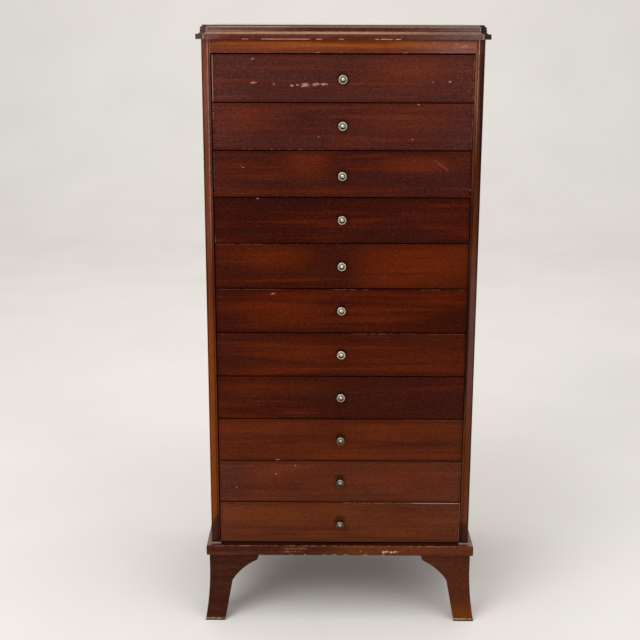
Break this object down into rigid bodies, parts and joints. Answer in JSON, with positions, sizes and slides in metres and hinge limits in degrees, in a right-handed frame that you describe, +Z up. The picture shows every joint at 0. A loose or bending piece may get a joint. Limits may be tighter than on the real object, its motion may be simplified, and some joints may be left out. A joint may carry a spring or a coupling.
{
  "type": "sheet music cabinet",
  "caption": "Tall narrow mahogany cabinet of shallow drawers for sheet music, with a moulded notched top, small turned brass knobs and splayed bracket feet.",
  "frame": {"origin": "on the floor under the middle of the cabinet's overall box, knobs and toes included", "axes": "+Z up, the drawer fronts face -Y and slide out that way, +X is the viewer's right"},
  "size_m": [0.4354, 0.353, 0.9415],
  "materials": {
    "mahogany_front": "polished, worn",
    "mahogany_case": "polished, worn",
    "mahogany_top": "polished, worn",
    "oak": "planed, unpolished",
    "cedar": "planed, unpolished",
    "pine": "sawn, aged",
    "aged_brass": "worn bright",
    "steel": "dull"
  },
  "bodies": {
    "case": {"left_side": "mahogany_case", "right_side": "mahogany_case", "top_board": "mahogany_top", "back_panel": "pine", "frieze_rail": "mahogany_front", "rear_top_rail": "pine", "bottom_board": "mahogany_case", "base_moulding": "mahogany_case", "foot_front_left": "mahogany_case", "foot_front_right": "mahogany_case", "foot_rear_left": "mahogany_case", "foot_rear_right": "mahogany_case", "foot_blocks": "pine", "drawer_runners": "oak", "runner_screws": "steel", "case_screws": "steel"},
    "drawer_01": {"drawer_01_front": "mahogany_front", "drawer_01_box": "oak", "drawer_01_bottom": "cedar", "drawer_01_knob": "aged_brass"},
    "drawer_02": {"drawer_02_front": "mahogany_front", "drawer_02_box": "oak", "drawer_02_bottom": "cedar", "drawer_02_knob": "aged_brass"},
    "drawer_03": {"drawer_03_front": "mahogany_front", "drawer_03_box": "oak", "drawer_03_bottom": "cedar", "drawer_03_knob": "aged_brass"},
    "drawer_04": {"drawer_04_front": "mahogany_front", "drawer_04_box": "oak", "drawer_04_bottom": "cedar", "drawer_04_knob": "aged_brass"},
    "drawer_05": {"drawer_05_front": "mahogany_front", "drawer_05_box": "oak", "drawer_05_bottom": "cedar", "drawer_05_knob": "aged_brass"},
    "drawer_06": {"drawer_06_front": "mahogany_front", "drawer_06_box": "oak", "drawer_06_bottom": "cedar", "drawer_06_knob": "aged_brass"},
    "drawer_07": {"drawer_07_front": "mahogany_front", "drawer_07_box": "oak", "drawer_07_bottom": "cedar", "drawer_07_knob": "aged_brass"},
    "drawer_08": {"drawer_08_front": "mahogany_front", "drawer_08_box": "oak", "drawer_08_bottom": "cedar", "drawer_08_knob": "aged_brass"},
    "drawer_09": {"drawer_09_front": "mahogany_front", "drawer_09_box": "oak", "drawer_09_bottom": "cedar", "drawer_09_knob": "aged_brass"},
    "drawer_10": {"drawer_10_front": "mahogany_front", "drawer_10_box": "oak", "drawer_10_bottom": "cedar", "drawer_10_knob": "aged_brass"},
    "drawer_11": {"drawer_11_front": "mahogany_front", "drawer_11_box": "oak", "drawer_11_bottom": "cedar", "drawer_11_knob": "aged_brass"}
  },
  "joints": [
    {"name": "drawer_01_slide", "type": "slide", "parent": "case", "child": "drawer_01", "axis": [0, -1, 0], "range_m": [0, 0.22]},
    {"name": "drawer_02_slide", "type": "slide", "parent": "case", "child": "drawer_02", "axis": [0, -1, 0], "range_m": [0, 0.22]},
    {"name": "drawer_03_slide", "type": "slide", "parent": "case", "child": "drawer_03", "axis": [0, -1, 0], "range_m": [0, 0.22]},
    {"name": "drawer_04_slide", "type": "slide", "parent": "case", "child": "drawer_04", "axis": [0, -1, 0], "range_m": [0, 0.22]},
    {"name": "drawer_05_slide", "type": "slide", "parent": "case", "child": "drawer_05", "axis": [0, -1, 0], "range_m": [0, 0.22]},
    {"name": "drawer_06_slide", "type": "slide", "parent": "case", "child": "drawer_06", "axis": [0, -1, 0], "range_m": [0, 0.22]},
    {"name": "drawer_07_slide", "type": "slide", "parent": "case", "child": "drawer_07", "axis": [0, -1, 0], "range_m": [0, 0.22]},
    {"name": "drawer_08_slide", "type": "slide", "parent": "case", "child": "drawer_08", "axis": [0, -1, 0], "range_m": [0, 0.22]},
    {"name": "drawer_09_slide", "type": "slide", "parent": "case", "child": "drawer_09", "axis": [0, -1, 0], "range_m": [0, 0.22]},
    {"name": "drawer_10_slide", "type": "slide", "parent": "case", "child": "drawer_10", "axis": [0, -1, 0], "range_m": [0, 0.22]},
    {"name": "drawer_11_slide", "type": "slide", "parent": "case", "child": "drawer_11", "axis": [0, -1, 0], "range_m": [0, 0.22]}
  ]
}
